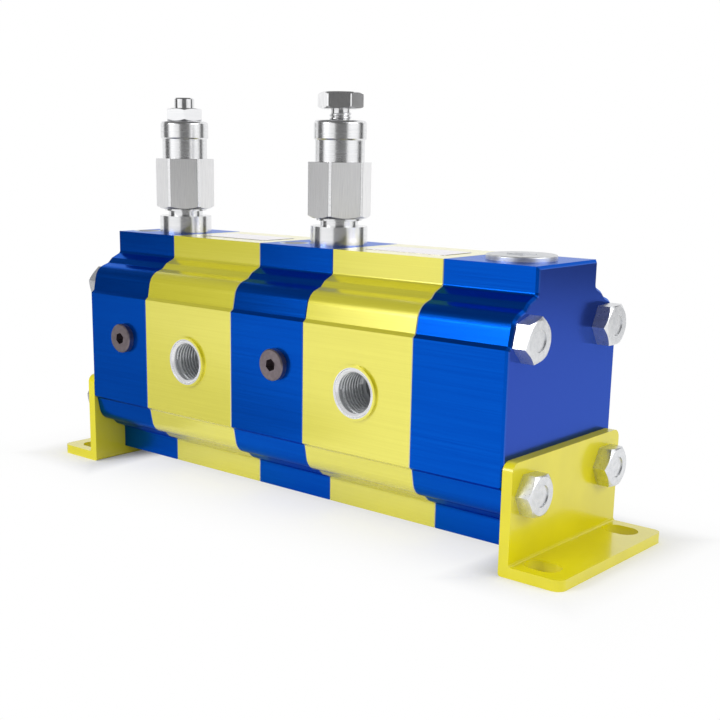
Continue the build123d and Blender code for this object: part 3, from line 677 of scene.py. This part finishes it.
# %% Rubber, and the finish of every hidden node
def nitrile(name):
    """Black rubber with a fine bloom."""
    material, tree, shader, place = start_material(name, Metallic=0.0, IOR=1.52)
    bloom = cloudy_pattern(tree, place, (1.0, 1.0, 1.0), detail=3)
    tree.links.new(lay_over(tree, "#161616", "#242424", pattern=bloom), shader.inputs["Base Color"])
    vary(tree, bloom, shader.inputs["Roughness"], 0.5, 0.7)
    raise_surface(tree, shader, bloom, depth_mm=0.02, strength=0.3)
    return material


rubber = nitrile("nitrile_rubber")
by_start = {"drive_gear": gear_steel, "idler_gear": gear_steel, "shaft_coupling": gear_steel,
            "spring_seat": gear_steel, "relief_poppet": gear_steel, "bearing_block": bearing_alloy,
            "bushes": bronze, "relief_spring": spring_steel, "section_seal": rubber, "valve_o_ring": rubber}
for node in nodes:
    for start, material in by_start.items():
        if node.startswith(start):
            finishes[node] = material
print("finished nodes:", len(finishes), "of", len(nodes))

# %% Give every node its finish
for node, piece in nodes.items():
    piece.data.materials.clear()
    piece.data.materials.append(finishes[node])
print("without a finish:", sorted(set(nodes) - set(finishes)))

# %% [markdown]
# ## Threads and rims
#
# A pipe thread is a ridge wound round a hole. It could be faked by rings of bump, but the ports look
# straight at the camera and the ridge catches the light, so it is real geometry: a small eight-sided
# outline is wound up by a Screw modifier, as deep and as steep as the thread, and its two ends are closed.
# Half of the outline is sunk in the wall of the hole, so that no gap shows. The bright faced rim of an
# outlet is wound in the same way from a rectangle with one bevelled corner, but with no pitch, so that it
# closes into a ring.

# %% Wind an outline round an axis
WINDING_STEPS = 64


def wind_up(piece, start, axis, pitch, turns, body, material):
    """Winds an outline round the Z axis, closes it and sets it on an axis; at pitch 0 it is simply turned."""
    winding = piece.modifiers.new("winding", "SCREW")
    winding.axis = "Z"
    winding.angle = 2 * math.pi
    winding.screw_offset = pitch
    winding.iterations = turns
    winding.steps = WINDING_STEPS
    winding.render_steps = WINDING_STEPS
    winding.use_smooth_shade = False
    bpy.ops.object.modifier_apply(modifier=winding.name)
    bpy.ops.object.mode_set(mode="EDIT")
    bpy.ops.mesh.select_all(action="SELECT")
    bpy.ops.mesh.fill_holes(sides=0)
    bpy.ops.mesh.select_all(action="SELECT")
    bpy.ops.mesh.normals_make_consistent(inside=False)
    bpy.ops.object.mode_set(mode="OBJECT")
    piece.rotation_euler = Vector(axis).to_track_quat("Z", "Y").to_euler()
    piece.location = start
    bpy.ops.object.transform_apply(location=True, rotation=True, scale=True)
    piece.data.materials.append(material)
    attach(piece, body)


print("steps in one turn:", WINDING_STEPS)

# %% The ridge of a thread
RIDGE_SIDES = 8
# Half the ridge's width at its foot, and the wall left free at each end of it, as shares of the pitch
RIDGE_HALF_SHARE = 0.42
FREE_END_SHARE = 0.4
SMOOTH_UNDER = math.radians(50)


def thread(name, start, axis, radius, height, pitch, turns, body, material):
    """A helical ridge, as high as height, on a wall of the given radius."""
    deselect_all()
    bpy.ops.mesh.primitive_circle_add(vertices=RIDGE_SIDES, radius=1.0, fill_type="NOTHING",
                                      rotation=(math.pi / 2, 0, 0))
    ridge = bpy.context.active_object
    ridge.name = name
    bpy.ops.object.transform_apply(location=False, rotation=True, scale=False)
    bpy.ops.object.mode_set(mode="EDIT")
    bpy.ops.mesh.select_all(action="SELECT")
    bpy.ops.transform.resize(value=(height, 1, pitch * RIDGE_HALF_SHARE))
    bpy.ops.transform.translate(value=(radius, 0, 0))
    bpy.ops.object.mode_set(mode="OBJECT")
    wind_up(ridge, start, axis, pitch, turns, body, material)
    bpy.ops.object.shade_smooth_by_angle(angle=SMOOTH_UNDER)
    print(name, "turns:", turns, "faces:", len(ridge.data.polygons))


print("sides of the outline:", RIDGE_SIDES)

# %% Threads of the open ports
# G 1/2 and G 3/4 have 14 threads to the inch, G 1/4 has 19; each has its pitch and its height in mm
INCH = 25.4
COARSE, FINE = (INCH / 14, 0.85), (INCH / 19, 0.50)
port_threads = {"outlet_port_1": COARSE, "outlet_port_2": COARSE, "inlet_port": COARSE, "gauge_port_1": FINE,
                "gauge_port_2": FINE}
bare_aluminium = machined("cut_bare_aluminium", "#D8DADC", "#C2C5C8", (3, 0.3, 3), 0.24, metallic=0.6)
for name, (pitch_mm, height_mm) in port_threads.items():
    mount = mounts[name]
    pitch = pitch_mm * MM
    inwards = -Vector(mount["axis"])
    length = mount["dims"]["length_mm"] * MM
    thread(name + "_thread", start=Vector(mount["pos_m"]) - inwards * (length / 2 - FREE_END_SHARE * pitch),
           axis=inwards, radius=mount["dims"]["r_mm"] * MM, height=height_mm * MM, pitch=pitch,
           turns=int(length / pitch - 2 * FREE_END_SHARE), body="housing",
           material=bare_aluminium)

# %% Rims of the outlet ports
# The raised ring round each outlet is faced off bright, and a small chamfer leads into the thread
RIM_INNER, RIM_OUTER = 8.7 * MM, 10.7 * MM
RIM_DEPTH = 2.4 * MM
RIM_PROUD = 0.03 * MM
RIM_CHAMFER = 1.1 * MM
RING_BEFORE_THREAD = 2.8 * MM
faced_aluminium = machined("faced_rim_aluminium", "#F8F8FA", "#EFEFF2", (6, 6, 0.3), 0.30, metallic=0.4,
                           relief=0.05)


def port_rim(name, mount):
    """A turned ring that fills the mouth of a port as far as the crest of its thread."""
    inwards = -Vector(mount["axis"])
    front = Vector(mount["pos_m"]) - inwards * (mount["dims"]["length_mm"] / 2 * MM + RING_BEFORE_THREAD)
    middle = (RIM_INNER + RIM_OUTER) / 2
    deselect_all()
    bpy.ops.mesh.primitive_plane_add(size=1.0, rotation=(math.pi / 2, 0, 0))
    rim = bpy.context.active_object
    rim.name = name
    rim.scale = (RIM_OUTER - RIM_INNER, RIM_DEPTH, 1)
    rim.location = (middle, 0, RIM_DEPTH / 2 - RIM_PROUD)
    bpy.ops.object.transform_apply(location=True, rotation=True, scale=True)
    for corner in rim.data.vertices:
        corner.select = corner.co.x < middle and corner.co.z < 0
    bpy.ops.object.mode_set(mode="EDIT")
    bpy.ops.mesh.select_mode(type="VERT")
    bpy.ops.mesh.bevel(offset=RIM_CHAMFER, affect="VERTICES")
    bpy.ops.mesh.select_all(action="SELECT")
    bpy.ops.mesh.delete(type="ONLY_FACE")
    bpy.ops.object.mode_set(mode="OBJECT")
    wind_up(rim, front, inwards, 0.0, 1, "housing", faced_aluminium)
    print(name, "faces:", len(rim.data.polygons))


for number in (1, 2):
    port_rim(f"outlet_rim_{number}", mounts[f"outlet_port_{number}"])

# %% Thread of the adjusting screw
# M10 x 1.5 on the part of the screw that stands out of the cap, as far as it can rise: from a height in mm
# above the top of the block to the underside of its head
THREAD_FROM, THREAD_TO = 51.6, HEAD_FLATS[0]
SCREW_PITCH = 1.5 * MM
SCREW_CORE = 4.3 * MM
SCREW_RIDGE = 0.6 * MM
screw_bottom, screw_top = BLOCK_TOP + THREAD_FROM * MM, BLOCK_TOP + THREAD_TO * MM
screw_low, screw_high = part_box("adjusting_screw_2")
screw_middle = (screw_low + screw_high) / 2
thread("adjusting_screw_2_thread", start=(screw_middle.x, screw_middle.y, screw_bottom), axis=(0, 0, 1),
       radius=SCREW_CORE, height=SCREW_RIDGE, pitch=SCREW_PITCH,
       turns=int((screw_top - screw_bottom) / SCREW_PITCH), body="screw_2",
       material=finishes["adjusting_screw_1"])

# %% [markdown]
# ## Bare plates
#
# A thin plate of brushed aluminium lies on top of each yellow section. A plain box would do from afar, but
# its sharp edges would catch no light, so a flat cube gets its corners rounded off and its rim broken by
# bevels. Brushing along the plate leaves fine scratches on it.

# %% Model one plate for each yellow section
PLATE_SIZE = (42.0 * MM, 21.0 * MM, 0.16 * MM)
PLATE_CORNER, PLATE_CORNER_STEPS = 1.5 * MM, 6
PLATE_RIM, PLATE_RIM_STEPS = 0.05 * MM, 2
FACES_UP = 0.9
brushed_plate = machined("brushed_label_aluminium", "#F4F0F5", "#EAE6EC", (14, 0.3, 3), 0.20, relief=0.03)


def label_plate(name, centre):
    """A flat plate with round corners and a broken rim; centre is the middle of what it lies on."""
    deselect_all()
    bpy.ops.mesh.primitive_cube_add(size=1.0, location=(centre.x, centre.y, centre.z + PLATE_SIZE[2] / 2))
    plate = bpy.context.active_object
    plate.name = name
    plate.scale = PLATE_SIZE
    bpy.ops.object.transform_apply(location=True, rotation=True, scale=True)
    bpy.ops.object.mode_set(mode="EDIT")
    bpy.ops.mesh.select_mode(type="EDGE")
    bpy.ops.mesh.select_all(action="DESELECT")
    bpy.ops.object.mode_set(mode="OBJECT")
    for edge in plate.data.edges:
        ends = [plate.data.vertices[v].co for v in edge.vertices]
        edge.select = abs(ends[0].z - ends[1].z) > PLATE_SIZE[2] / 2
    bpy.ops.object.mode_set(mode="EDIT")
    bpy.ops.mesh.bevel(offset=PLATE_CORNER, segments=PLATE_CORNER_STEPS, affect="EDGES")
    bpy.ops.mesh.select_mode(type="FACE")
    bpy.ops.mesh.select_all(action="DESELECT")
    bpy.ops.object.mode_set(mode="OBJECT")
    for face in plate.data.polygons:
        face.select = face.normal.z > FACES_UP
    bpy.ops.object.mode_set(mode="EDIT")
    bpy.ops.mesh.bevel(offset=PLATE_RIM, segments=PLATE_RIM_STEPS, affect="EDGES")
    bpy.ops.object.mode_set(mode="OBJECT")
    plate.data.materials.append(brushed_plate)
    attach(plate, "housing")
    print(name, "faces:", len(plate.data.polygons))


for number in (1, 2):
    low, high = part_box(f"gear_body_{number}")
    middle = (low + high) / 2
    label_plate(f"label_plate_{number}", Vector((middle.x, middle.y, high.z)))
